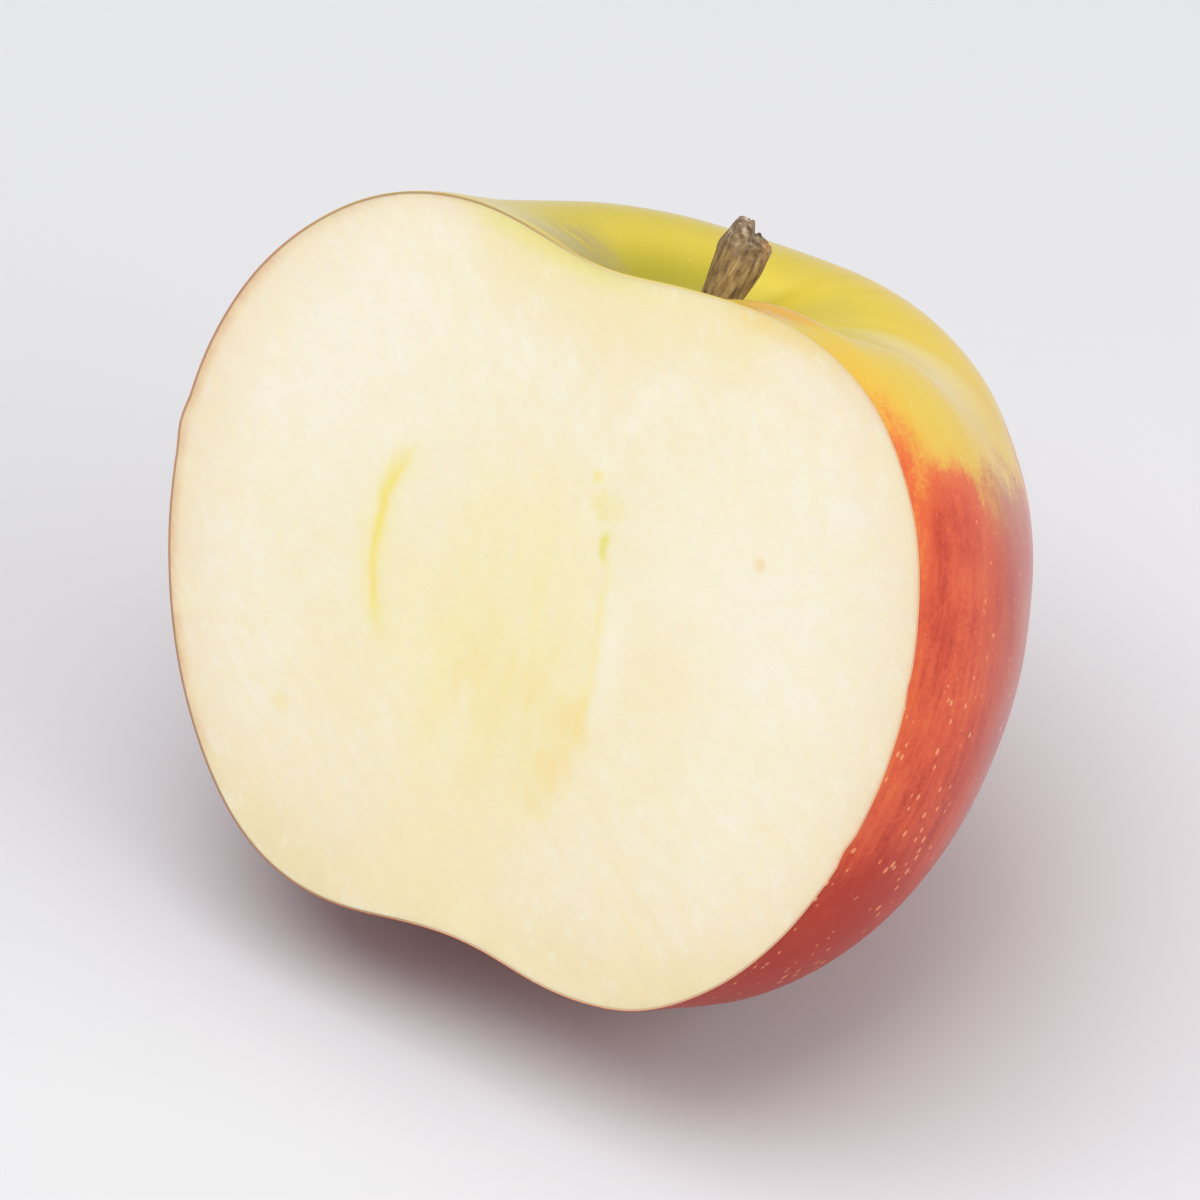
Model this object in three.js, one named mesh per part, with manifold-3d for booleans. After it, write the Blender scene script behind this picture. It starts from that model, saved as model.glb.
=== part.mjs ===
// Half of a dessert apple, cut from stem to eye, lying back on its skin.
// Millimetres, +Z up. The cut face looks to -Y and tips upwards. The origin is the middle of the
// small flat spot that the half rests on.
import * as THREE from "three";
import { mergeVertices } from "three/addons/utils/BufferGeometryUtils.js";
import Module from "manifold-3d";

const wasm = await Module();
wasm.setup();

const { smoothstep, degToRad } = THREE.MathUtils;

// ---------------------------------------------------------------------------------------------
// Driving dimensions, in millimetres and degrees. The fruit's own frame has its core along Z, with
// the stem end up, and angles round the core are counted from +X.
// ---------------------------------------------------------------------------------------------

const fruit = {
  radius: 39.45,         // round the waist
  halfHeight: 36.2,      // from the middle of the core to either end, before the hollows
  fullness: 0.882,       // below 1 the sides are fuller than a ball's
  topHeavy: 0.042,       // share by which the shoulders are wider than the eye end
  barrel: 0.022,         // share by which both ends are wider than a ball's
  rings: 46,
  columns: 60,
  ringCrowding: 0.2,     // how much closer the rings lie in the two hollows than at the waist
};
const ribs = {
  count: 5,              // one for each seed chamber
  atEye: 0.068,          // how far they stand out there, as a share of the radius
  atEyeTurn: 12.1,
  atStem: 0.025,
  atStemTurn: 44.5,
  rise: 0.02,            // how high they lift the shoulders, as a share of the half height
  riseTurn: -0.9,
  fade: 1.5,
};
const uneven = {
  lopsided: 0.088,       // fuller to one side
  lopsidedTurn: 257.5,
  oval: 0.05,            // wider one way than the other
  ovalTurn: 100.4,
  tilted: 0.045,         // shoulders higher on one side
  tiltedTurn: 250.7,
  saddle: 0.052,         // shoulders higher on two opposite sides
  saddleTurn: 97.5,
};
const stemHollow = { depth: 14.5, width: 16.1, power: 1.46, shiftX: 2.89, shiftY: 0.39 };
const eyeHollow = { depth: 7.95, width: 15.6, power: 1.77, shiftX: -0.82, shiftY: 1.17 };
const hollowEdge = { from: -0.3, to: 0.5 };  // cos(polar) where a hollow's pull begins and is whole

const knife = { offset: 8.52, tilt: 4.9 };  // in front of the core, and leaning over it

const rest = {
  leanBack: 25.4,        // from standing upright on the eye end
  sway: -5.5,            // in the plane of the cut, to the left
  coreHeight: 35.2,      // from the table to the middle of the core
  spotX: -0.3,           // middle of the flat spot from below the middle of the core
  spotY: 6.6,
};

const stem = {
  length: 14.2,
  rootRadius: 1.42,
  tipRadius: 1.95,
  flareFrom: 0.45,       // shares of the length between which it widens
  flareTo: 0.8,
  sunk: 2.8,             // below the bottom of its hollow
  lean: 10.5,            // away from the core
  leanTurn: 31.6,
  shift: 0.65,           // of its root, along the way it leans
  ridges: 5,
  ridgeDepth: 0.05,
  oval: 0.07,            // it is a little wider one way
  tornFrom: 0.72,        // share of the length where the torn end begins
  tornFall: 2.0,         // how far the torn end falls off to its sides
  tornStep: 0.5,         // how uneven its rim is
  tornShift: -0.2,       // of its peak from the middle, along the way it leans
  columns: 16,
  rings: 10,
};

const calyx = {
  radius: 3.3,
  height: 2.6,
  sunk: 1.1,
  sepals: 5,
  notch: 0.3,            // how deep the gaps between the sepals go
  mouth: 0.55,           // how far its middle sinks between the sepals
  columns: 30,
  rings: 10,
};

const gap = 0.3;         // between pieces that touch
const reach = 120;       // longer than anything here is wide

// ---------------------------------------------------------------------------------------------
// Solids
// ---------------------------------------------------------------------------------------------

// Closed geometry with its shared points merged, which is what a solid is made from.
function closed(geometry) {
  geometry.deleteAttribute("normal");
  geometry.deleteAttribute("uv");
  return mergeVertices(geometry, 1e-4);
}

// The solid of a mesh, given in the frame of another object.
function solidIn(frame, mesh) {
  frame.updateWorldMatrix(true, false);
  mesh.updateWorldMatrix(true, false);
  const toFrame = frame.matrixWorld.clone().invert().multiply(mesh.matrixWorld);
  const geometry = closed(mesh.geometry.clone().applyMatrix4(toFrame));
  return new wasm.Manifold(new wasm.Mesh({
    numProp: 3,
    vertProperties: new Float32Array(geometry.attributes.position.array),
    triVerts: new Uint32Array(geometry.index.array),
  }));
}

// Takes the tools away from a mesh, wherever each of them stands.
function cutAway(mesh, tools) {
  let solid = solidIn(mesh, mesh);
  for (const tool of tools) {
    solid = solid.subtract(solidIn(mesh, tool));
  }
  const { vertProperties, triVerts } = solid.getMesh();
  mesh.geometry = new THREE.BufferGeometry();
  mesh.geometry.setAttribute("position", new THREE.BufferAttribute(vertProperties, 3));
  mesh.geometry.setIndex(new THREE.BufferAttribute(triVerts, 1));
  mesh.geometry.computeVertexNormals();
}

// Moves every point of a ball-shaped geometry to place(polar, turn). The angle polar runs from 0 at
// the stem end to PI at the eye end, and turn runs round the core.
function shapedBall(columns, rings, crowding, place) {
  const geometry = new THREE.SphereGeometry(1, columns, rings);
  const { position, uv } = geometry.attributes;
  for (let i = 0; i < position.count; i += 1) {
    const down = 1 - uv.getY(i);
    const polar = Math.PI * down - crowding * Math.sin(2 * Math.PI * down);
    const turn = 2 * Math.PI * uv.getX(i);
    position.setXYZ(i, ...place(polar, turn).toArray());
  }
  return closed(geometry);
}

function piece(name, geometry, color, roughness) {
  const material = new THREE.MeshStandardMaterial({ color, roughness, metalness: 0 });
  const mesh = new THREE.Mesh(geometry, material);
  mesh.name = name;
  return mesh;
}

// ---------------------------------------------------------------------------------------------
// The fruit: a squat ball with a deep hollow round the stem, a shallow one at the eye, and five
// soft ribs that stand out most round the eye.
// ---------------------------------------------------------------------------------------------

// A wave round the core that is 1 at the given turn.
function wave(turn, count, crest) {
  return Math.cos(count * (turn - degToRad(crest)));
}

function hollowDepth(hollow, radius) {
  return hollow.depth * Math.exp(-((radius / hollow.width) ** hollow.power));
}

function skinPoint(polar, turn) {
  const up = Math.cos(polar);
  const out = Math.sin(polar);
  const stemEnd = (1 + up) / 2;
  const eyeEnd = (1 - up) / 2;

  const round = Math.max(out, 0) ** fruit.fullness
    * (1 + fruit.topHeavy * up + fruit.barrel * (up * up - 0.4));
  const ribbing = out * (ribs.atEye * wave(turn, ribs.count, ribs.atEyeTurn) * eyeEnd ** ribs.fade
    + ribs.atStem * wave(turn, ribs.count, ribs.atStemTurn) * stemEnd ** ribs.fade);
  const shape = uneven.lopsided * wave(turn, 1, uneven.lopsidedTurn)
    + uneven.oval * wave(turn, 2, uneven.ovalTurn);
  const radius = fruit.radius * round * (1 + ribbing + shape);

  const tilt = up * uneven.tilted * out * wave(turn, 1, uneven.tiltedTurn);
  const shoulders = out * stemEnd ** 2 * (ribs.rise * wave(turn, ribs.count, ribs.riseTurn)
    + uneven.saddle * wave(turn, 2, uneven.saddleTurn));
  const height = fruit.halfHeight * (up + tilt + shoulders);
  const sink = hollowDepth(stemHollow, radius) * smoothstep(up, hollowEdge.from, hollowEdge.to);
  const rise = hollowDepth(eyeHollow, radius) * smoothstep(-up, hollowEdge.from, hollowEdge.to);

  return new THREE.Vector3(
    radius * Math.cos(turn) + stemHollow.shiftX * stemEnd ** 3 + eyeHollow.shiftX * eyeEnd ** 3,
    radius * Math.sin(turn) + stemHollow.shiftY * stemEnd ** 3 + eyeHollow.shiftY * eyeEnd ** 3,
    height - sink + rise,
  );
}

// ---------------------------------------------------------------------------------------------
// The stem: a short woody stalk that widens to a torn end. It is drawn along +Z from its root.
// ---------------------------------------------------------------------------------------------

function stemGeometry(grow) {
  const geometry = new THREE.CylinderGeometry(1, 1, 1, stem.columns, stem.rings);
  geometry.rotateX(Math.PI / 2);
  const { position } = geometry.attributes;
  for (let i = 0; i < position.count; i += 1) {
    const along = position.getZ(i) + 0.5;
    const outward = Math.hypot(position.getX(i), position.getY(i));
    const turn = Math.atan2(position.getY(i), position.getX(i));

    const flare = smoothstep(along, stem.flareFrom, stem.flareTo);
    const section = 1 + stem.oval * wave(turn, 2, 0) + stem.ridgeDepth * wave(turn, stem.ridges, 20);
    const radius = THREE.MathUtils.lerp(stem.rootRadius, stem.tipRadius, flare) * section + grow;

    const torn = smoothstep(along, stem.tornFrom, 1);
    const fall = stem.tornFall * (1 - wave(turn, 2, 90)) / 2 + stem.tornStep * wave(turn, 3, 45);
    const foot = along === 0 ? grow : 0;
    position.setXYZ(
      i,
      outward * radius * Math.cos(turn) + stem.tornShift * torn,
      outward * radius * Math.sin(turn),
      along * stem.length - foot - outward * fall * torn,
    );
  }
  return closed(geometry);
}

// Stands a mesh on the root of the stem, leaning as the stem does.
function plantAtStem(mesh) {
  const root = skinPoint(0, 0);
  const towards = degToRad(stem.leanTurn);
  mesh.position.set(
    root.x + stem.shift * Math.cos(towards),
    root.y + stem.shift * Math.sin(towards),
    root.z - stem.sunk,
  );
  mesh.rotation.set(0, degToRad(stem.lean), towards, "ZYX");
}

// ---------------------------------------------------------------------------------------------
// The calyx: the dry tuft of five sepals in the eye, a puckered button with its top towards -Z.
// ---------------------------------------------------------------------------------------------

function calyxGeometry(grow) {
  return shapedBall(calyx.columns, calyx.rings, 0, (polar, turn) => {
    const out = Math.sin(polar);
    const sepal = 1 - calyx.notch * (0.5 - 0.5 * wave(turn, calyx.sepals, 0)) * out;
    const mouth = calyx.mouth * Math.max(-Math.cos(polar), 0) * (1 - out) ** 2;
    const radius = calyx.radius * out * sepal + grow * out;
    const height = (calyx.height / 2) * (Math.cos(polar) + 2 * mouth) + grow * Math.cos(polar);
    return new THREE.Vector3(radius * Math.cos(turn), radius * Math.sin(turn), height);
  });
}

function plantAtEye(mesh) {
  const root = skinPoint(Math.PI, 0);
  mesh.position.set(root.x, root.y, root.z + calyx.sunk - calyx.height / 2);
}

// ---------------------------------------------------------------------------------------------
// The half: the fruit less what the knife takes off, what the table flattens, and the two sockets
// ---------------------------------------------------------------------------------------------

const half = new THREE.Group();

// Lying back: here the cut face is upright and looks to -Y, and the group leans it.
const lying = new THREE.Group();
lying.position.set(-rest.spotX, -rest.spotY, rest.coreHeight);
lying.rotation.set(-degToRad(rest.leanBack), degToRad(rest.sway), 0);
half.add(lying);

// The fruit's own frame, with the core along Z. The knife went down a little askew to it.
const core = new THREE.Group();
core.rotation.x = -degToRad(knife.tilt);
lying.add(core);

const apple = piece(
  "apple_half",
  shapedBall(fruit.columns, fruit.rings, fruit.ringCrowding, skinPoint),
  0xf6e9c4,
  0.45,
);
core.add(apple);

const stalk = piece("stem", stemGeometry(0), 0x7d6545, 0.8);
plantAtStem(stalk);
core.add(stalk);

const eye = piece("calyx", calyxGeometry(0), 0x4f3d26, 0.9);
plantAtEye(eye);
core.add(eye);

// What is taken away. None of these is part of the half, so they go once they have cut it.
const offcut = new THREE.Mesh(new THREE.BoxGeometry(reach, reach, reach));
offcut.position.y = -knife.offset - reach / 2;
lying.add(offcut);

const table = new THREE.Mesh(new THREE.BoxGeometry(reach, reach, reach));
table.position.z = -reach / 2;
half.add(table);

const stemSocket = new THREE.Mesh(stemGeometry(gap));
plantAtStem(stemSocket);
core.add(stemSocket);

const eyeSocket = new THREE.Mesh(calyxGeometry(gap));
plantAtEye(eyeSocket);
core.add(eyeSocket);

const tools = [offcut, table, stemSocket, eyeSocket];
cutAway(apple, tools);
tools.forEach((tool) => tool.removeFromParent());

export default half;
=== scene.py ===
"""The looks of half a dessert apple that lies back on its skin with the cut face tipped upwards."""
from math import acos, atan2, cos, exp, hypot, pi, radians, sin

import bmesh
import bpy
from mathutils import Matrix, Vector, kdtree, noise


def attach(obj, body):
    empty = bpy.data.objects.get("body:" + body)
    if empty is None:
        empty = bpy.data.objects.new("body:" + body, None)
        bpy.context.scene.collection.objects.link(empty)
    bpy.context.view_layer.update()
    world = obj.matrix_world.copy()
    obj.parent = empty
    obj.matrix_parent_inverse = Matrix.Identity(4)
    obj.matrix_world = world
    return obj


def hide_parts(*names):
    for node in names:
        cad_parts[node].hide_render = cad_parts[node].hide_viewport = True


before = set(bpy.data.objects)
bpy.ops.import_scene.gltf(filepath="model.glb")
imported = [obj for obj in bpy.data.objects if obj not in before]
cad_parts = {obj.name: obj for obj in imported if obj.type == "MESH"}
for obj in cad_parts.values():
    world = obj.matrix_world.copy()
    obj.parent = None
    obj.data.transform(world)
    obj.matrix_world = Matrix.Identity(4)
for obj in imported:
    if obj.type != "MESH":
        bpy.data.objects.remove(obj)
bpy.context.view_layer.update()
MM = 0.001

# ---------------------------------------------------------------------------------------------
# How the half lies. The fruit's own frame has its core along Z with the stem end up. The half
# leans back on its skin and sways a little, and the knife went down askew, in front of the core.
# ---------------------------------------------------------------------------------------------

lean_back, sway, knife_tilt = radians(-25.4), radians(-5.5), radians(-4.9)
core_middle = Vector((0.3, -6.6, 35.2)) * MM
knife_offset = 8.52 * MM

lying = (
    Matrix.Translation(core_middle)
    @ Matrix.Rotation(lean_back, 4, "X")
    @ Matrix.Rotation(sway, 4, "Y")
)
fruit_place = lying @ Matrix.Rotation(knife_tilt, 4, "X")
cut_point = lying @ Vector((0, -knife_offset, 0))
cut_outward = lying.to_3x3() @ Vector((0, -1, 0))

# ---------------------------------------------------------------------------------------------
# The camera looks down on the cut face from the front right, from far enough away to flatten it.
# ---------------------------------------------------------------------------------------------

camera_turn, camera_height = radians(39.13), radians(40.0)
camera_distance = 859.5 * MM
view_width = 98 * MM
view_middle_right, view_middle_down = 1.05 * MM, 0.8 * MM

towards_camera = Vector((
    sin(camera_turn) * cos(camera_height),
    -cos(camera_turn) * cos(camera_height),
    sin(camera_height),
))
camera_right = Vector((cos(camera_turn), sin(camera_turn), 0))
camera_up = towards_camera.cross(camera_right)
aim = core_middle + camera_right * view_middle_right - camera_up * view_middle_down

camera = bpy.data.objects.new("camera", bpy.data.cameras.new("camera"))
camera.data.sensor_width = 36
camera.data.lens = camera.data.sensor_width * camera_distance / view_width
camera.data.clip_start = 0.05
camera.data.clip_end = 20
camera.location = aim + towards_camera * camera_distance
camera.rotation_euler = towards_camera.to_track_quat("Z", "Y").to_euler()
bpy.context.scene.collection.objects.link(camera)
bpy.context.scene.camera = camera

# ---------------------------------------------------------------------------------------------
# The skin: a waxy peel about a fifth of a millimetre thick, yellow and green on the shoulders and
# blushed red in streaks below, with pale pores. It is one closed shell, open where the knife went.
# ---------------------------------------------------------------------------------------------

skin_thickness = 0.22 * MM
skin_columns, skin_rings, ring_crowding = 256, 184, 0.2

# The fruit's form, in millimetres: its girth and half height, how far each end of the core drifts
# off the axis, the two hollows, a shallow valley down one shoulder and a lip of skin beside the
# stem. The surface also swells a little, at random, every few millimetres.
fruit_radius, fruit_half_height = 39.45, 36.2
stem_end_drift, eye_end_drift = (2.89, 0.39), (-0.82, 1.17)
stem_hollow_depth, stem_hollow_width, stem_hollow_curve = 14.5, 16.1, 1.46
eye_hollow_depth, eye_hollow_width, eye_hollow_curve = 7.95, 15.6, 1.77
valley_turn, valley_width, valley_depth = radians(27), radians(17), 0.6
lip_height, lip_middle, lip_reach = 1.35, (12.0, -6.4), (6.6, 2.1)
swell, swell_size = 0.09, 7.0

# Waves round the core, each with the turn of a crest in degrees and its height as a share: five ribs
# at each end, a girth that is off centre and oval, a crown that tips, and uneven shoulders.
rib_count = 5
eye_rib, stem_rib, shoulder_rib = (12.1, 0.068), (44.5, 0.025), (-0.9, 0.02)
off_centre, oval, shoulder_oval = (257.5, 0.088), (100.4, 0.05), (97.5, 0.052)
crown_tip = (250.7, 0.045)

edge_nicks = [    # across and along the cut, reach and depth
    (-37.2, 3.6, 2.4, -0.35),
    (37.1, 5.1, 1.4, 0.16),
    (33.9, -9.5, 1.6, 0.34),
    (29.2, -17.2, 1.2, 0.16),
]


def wave(turn, count, crest, height=1):
    """A wave round the core, with this many crests. One is at the turn called crest, in degrees."""
    return height * cos(count * (turn - radians(crest)))


def smoothstep(x, low, high):
    share = min(max((x - low) / (high - low), 0), 1)
    return share * share * (3 - 2 * share)


def skin_point(polar, turn):
    """A point of the fruit's skin, in its own frame and in millimetres. The angle polar runs from 0
    at the stem to pi at the eye, and turn runs round the core."""
    up, out = cos(polar), max(sin(polar), 0)
    stem_end, eye_end = (1 + up) / 2, (1 - up) / 2

    fullness = out ** 0.882 * (1 + 0.042 * up + 0.022 * (up * up - 0.4))
    eye_ribs = wave(turn, rib_count, *eye_rib) * eye_end ** 1.5
    stem_ribs = wave(turn, rib_count, *stem_rib) * stem_end ** 1.5
    uneven = wave(turn, 1, *off_centre) + wave(turn, 2, *oval)
    radius = fruit_radius * fullness * (1 + out * (eye_ribs + stem_ribs) + uneven)

    tilt = up * out * wave(turn, 1, *crown_tip)
    shoulders = wave(turn, rib_count, *shoulder_rib) + wave(turn, 2, *shoulder_oval)
    rise = up + tilt + out * stem_end ** 2 * shoulders
    stem_dip = exp(-((radius / stem_hollow_width) ** stem_hollow_curve)) * smoothstep(up, -0.3, 0.5)
    eye_dip = exp(-((radius / eye_hollow_width) ** eye_hollow_curve)) * smoothstep(-up, -0.3, 0.5)
    hollows = eye_hollow_depth * eye_dip - stem_hollow_depth * stem_dip

    place = Vector((
        radius * cos(turn) + stem_end_drift[0] * stem_end ** 3 + eye_end_drift[0] * eye_end ** 3,
        radius * sin(turn) + stem_end_drift[1] * stem_end ** 3 + eye_end_drift[1] * eye_end ** 3,
        fruit_half_height * rise + hollows,
    ))
    lip_x = (place.x - lip_middle[0]) / lip_reach[0]
    lip_y = (place.y - lip_middle[1]) / lip_reach[1]
    place.z += lip_height * exp(-lip_x * lip_x - lip_y * lip_y) * smoothstep(up, 0.2, 0.6)
    from_valley = sin((turn - valley_turn) / 2) * 2 / valley_width
    reach = smoothstep(polar, 0.22, 0.5) * smoothstep(-polar, -1.2, -0.8)
    return place - place.normalized() * valley_depth * exp(-from_valley * from_valley) * reach


def whole_fruit():
    """The closed surface of the whole fruit as it lies. Each point keeps its place on the peel: the
    cosine and sine of its turn, and its polar angle. Its depth in the skin is 0 on the outside."""
    bm = bmesh.new()
    bmesh.ops.create_uvsphere(bm, u_segments=skin_columns, v_segments=skin_rings, radius=1)
    bm.verts.layers.float.new("depth")
    peel = bm.verts.layers.float_vector.new("peel")
    for v in bm.verts:
        down = acos(min(max(v.co.z, -1), 1))
        polar = down - ring_crowding * sin(2 * down)
        turn = atan2(v.co.y, v.co.x)
        v[peel] = (cos(turn), sin(turn), polar)
        place = skin_point(polar, turn)
        place += place.normalized() * swell * noise.noise(place / swell_size)
        v.co = fruit_place @ (place * MM)
        for across, along, reach, depth in edge_nicks:
            nick = lying @ (Vector((across, 0, along)) * MM - Vector((0, knife_offset, 0)))
            share = max(1 - (v.co - nick).length / (reach * MM), 0)
            v.co -= (v.co - core_middle).normalized() * depth * MM * share
    bm.normal_update()
    return bm


def press_down(verts, floor):
    """Flattens what would lie below the floor, with a soft edge round the flat spot."""
    softness = 0.25 * MM
    for v in verts:
        above = v.co.z - floor
        v.co.z = floor + (above + hypot(above, softness)) / 2


def everything(bm):
    return bm.verts[:] + bm.edges[:] + bm.faces[:]


def cut_half(bm):
    """Takes away what the knife took, and gives the edges along the cut."""
    bmesh.ops.bisect_plane(
        bm,
        geom=everything(bm),
        dist=1e-7,
        plane_co=cut_point,
        plane_no=cut_outward,
        clear_outer=True,
    )
    return [e for e in bm.edges if e.is_boundary]


def finish_piece(name, bm, material, node):
    """Makes the mesh a piece that rides on the half and stands for a node of the CAD model."""
    mesh = bpy.data.meshes.new(name)
    bm.to_mesh(mesh)
    bm.free()
    mesh.materials.append(material)
    mesh.shade_smooth()
    mesh.set_sharp_from_angle(angle=radians(50))
    piece = bpy.data.objects.new(name, mesh)
    bpy.context.scene.collection.objects.link(piece)
    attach(piece, "root")
    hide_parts(node)


skin_mesh = whole_fruit()
outer = skin_mesh.verts[:]
lining = bmesh.ops.duplicate(skin_mesh, geom=everything(skin_mesh))["geom"]
lining_verts = [g for g in lining if isinstance(g, bmesh.types.BMVert)]
lining_faces = [g for g in lining if isinstance(g, bmesh.types.BMFace)]
depth = skin_mesh.verts.layers.float["depth"]
for v in lining_verts:
    v.co -= v.normal * skin_thickness
    v[depth] = 1
bmesh.ops.reverse_faces(skin_mesh, faces=lining_faces)
press_down(outer, 0)
press_down(lining_verts, skin_thickness)
bmesh.ops.bridge_loops(skin_mesh, edges=cut_half(skin_mesh))
bmesh.ops.recalc_face_normals(skin_mesh, faces=skin_mesh.faces[:])


def colour(red, green, blue):
    """A colour given in sRGB from 0 to 255, in the linear values that the nodes take."""
    linear = [
        c / 12.92 if c <= 0.04045 else ((c + 0.055) / 1.055) ** 2.4
        for c in (red / 255, green / 255, blue / 255)
    ]
    return (*linear, 1)


def put(socket, value):
    """Gives an input a value, or links it to another node's output."""
    if isinstance(value, bpy.types.NodeSocket):
        socket.id_data.links.new(value, socket)
    else:
        socket.default_value = value


def node(tree, kind, inputs=(), **settings):
    """Adds a node with its settings and its inputs, which are named or numbered."""
    made = tree.nodes.new("ShaderNode" + kind)
    for name, value in settings.items():
        setattr(made, name, value)
    for name, value in dict(inputs).items():
        put(made.inputs[name], value)
    return made


def maths(tree, operation, first, second=0.0, third=0.0, clamp=False):
    inputs = {0: first, 1: second, 2: third}
    return node(tree, "Math", inputs, operation=operation, use_clamp=clamp).outputs[0]


def remap(tree, value, from_low, from_high, to_low=0.0, to_high=1.0, smooth=True):
    """Maps a value from one range to another, and stops at its ends."""
    return node(
        tree,
        "MapRange",
        {0: value, 1: from_low, 2: from_high, 3: to_low, 4: to_high},
        interpolation_type="SMOOTHSTEP" if smooth else "LINEAR",
    ).outputs[0]


def product(tree, first, *others):
    for other in others:
        first = maths(tree, "MULTIPLY", first, other)
    return first


def blend(tree, share, under, over):
    """Lays one colour over another."""
    mixer = node(tree, "Mix", {0: share}, data_type="RGBA", clamp_result=True)
    put(mixer.inputs[6], under)
    put(mixer.inputs[7], over)
    return mixer.outputs[2]


def tint(tree, under, shade, *shares):
    """Lays a shade over a colour, as far as all the shares together let it."""
    return blend(tree, product(tree, *shares), under, shade)


def ramp(tree, value, stops):
    """A row of colours, each given with its place from 0 to 1."""
    made = node(tree, "ValToRGB", {0: value})
    elements = made.color_ramp.elements
    while len(elements) < len(stops):
        elements.new(1)
    for element, (place, shade) in zip(elements, stops):
        element.position = place
        element.color = shade
    return made.outputs[0]


def noise_at(tree, vector, scale=1.0, detail=3.0, roughness=0.5):
    texture = node(
        tree,
        "TexNoise",
        {"Vector": vector, "Scale": scale, "Detail": detail, "Roughness": roughness},
    )
    return texture.outputs["Fac"]


def new_material(name):
    """An empty material, its tree and its Principled shader."""
    material = bpy.data.materials.new(name)
    material.use_nodes = True
    tree = material.node_tree
    return material, tree, tree.nodes["Principled BSDF"]


def scaled(tree, vector, scale, shift=0.0):
    """Coordinates scaled along each axis, and shifted alike along all of them."""
    inputs = {"Vector": vector, "Location": (shift, shift, shift), "Scale": scale}
    return node(tree, "Mapping", inputs).outputs[0]


def bump(tree, shader, height, strength, depth):
    """Gives a surface a fine relief that is this deep, in millimetres."""
    inputs = {"Height": height, "Strength": strength, "Distance": depth * MM}
    put(shader.inputs["Normal"], node(tree, "Bump", inputs).outputs[0])


skin_material, tree, skin_shader = new_material("apple_skin")
peel = node(tree, "Attribute", attribute_name="peel").outputs["Vector"]
peel_parts = node(tree, "SeparateXYZ", {0: peel}).outputs
turn_cos, turn_sin = peel_parts[0], peel_parts[1]
polar_degrees = product(tree, peel_parts[2], 180 / pi)


def peel_place(tree, round_scale, down_scale, shift=0.0):
    """The place on the peel, stretched as a streak is: round the core and down from the stem."""
    return scaled(tree, peel, (round_scale, round_scale, down_scale), shift)


def facing(tree, turn):
    """1 on the side of the core at this turn, in degrees, and -1 on the far side."""
    along_x = product(tree, turn_cos, cos(radians(turn)))
    along_y = product(tree, turn_sin, sin(radians(turn)))
    return maths(tree, "ADD", along_x, along_y)


fine_streaks = noise_at(tree, peel_place(tree, 46, 8), detail=4, roughness=0.65)
broad_streaks = noise_at(tree, peel_place(tree, 9, 2.2, 3), detail=3, roughness=0.6)
patches = noise_at(tree, peel_place(tree, 2.6, 2.6, 7), detail=3, roughness=0.6)

# The ground colour: green in the stem hollow, yellow on the shoulders and round the fruit.
ground = ramp(tree, remap(tree, polar_degrees, 0, 60, smooth=False), [
    (0.08, colour(172, 156, 54)),
    (0.18, colour(220, 194, 54)),
    (0.34, colour(212, 188, 60)),
    (0.5, colour(218, 186, 60)),
    (0.75, colour(217, 181, 68)),
])
ground = tint(tree, ground, colour(226, 202, 98), remap(tree, broad_streaks, 0.3, 0.7), 0.3)
ground_patches = [    # the turn it faces, its reach round the core and down, its strength and colour
    # the olive green wall of the stem hollow, darkened further deep inside as painted shade
    (145, (0.1, 0.9), (17.5, 8.5), 0.95, colour(130, 126, 2)),
    (150, (0.2, 1.0), (46, 30), 0.5, colour(196, 180, 66)),
    # painted light: a bright yellow patch on the wall right of the stem, where the lip shades it
    (95, (0.93, 0.995), (18, 12), 0.5, colour(252, 228, 92)),
    # painted shade: a grey olive band along the crease on the shoulder by the stem hollow
    (52, (0.96, 0.997), (21, 16), 0.35, colour(186, 178, 92)),
]
for turn, reach_round, reach_down, strength, shade in ground_patches:
    facing_it = remap(tree, facing(tree, turn), *reach_round)
    ground = tint(tree, ground, shade, facing_it, remap(tree, polar_degrees, *reach_down), strength)

# The blush starts below the shoulders, orange and then red, with a ragged edge that wanders up and
# down, and leaves tongues of yellow that run further down.
tongues = [    # the turn it faces, how narrow it is, and how far it drops, in degrees
    (8, 0.80, 8.5),
    (50, 0.85, 8),
    (339, 0.985, -4.5),
    (118, 0.80, 11),
    (190, 0.90, 7),
]
edge_polar = 43.0
for turn, narrow, drop in tongues:
    edge_polar = maths(tree, "ADD", edge_polar, remap(tree, facing(tree, turn), narrow, 1.0, 0, drop))
edge_wander = noise_at(tree, peel_place(tree, 3.2, 2.4, 5), detail=2, roughness=0.5)
edge_mottle = noise_at(tree, peel_place(tree, 10, 11, 2), detail=3, roughness=0.6)
edge_mottle = maths(tree, "MULTIPLY_ADD", edge_mottle, 7, -8.5)
ragged_edge = maths(tree, "MULTIPLY_ADD", edge_wander, 10, edge_mottle)
below_edge = maths(tree, "ADD", maths(tree, "SUBTRACT", polar_degrees, edge_polar), ragged_edge)
blush = remap(tree, below_edge, -10, 13, 0, 0.71, smooth=False)
fine_mottle = noise_at(tree, peel_place(tree, 56, 66, 9), detail=3, roughness=0.6)
streaks = [    # each noise swings about its middle, by so much
    (fine_mottle, 0.36),
    (fine_streaks, remap(tree, below_edge, 0, 30, 0.1, 0.55)),
    (broad_streaks, 0.5),
    (patches, 0.85),
]
for streak, amount in streaks:
    swing = product(tree, maths(tree, "SUBTRACT", streak, 0.5), amount)
    blush = maths(tree, "ADD", blush, swing)

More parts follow.
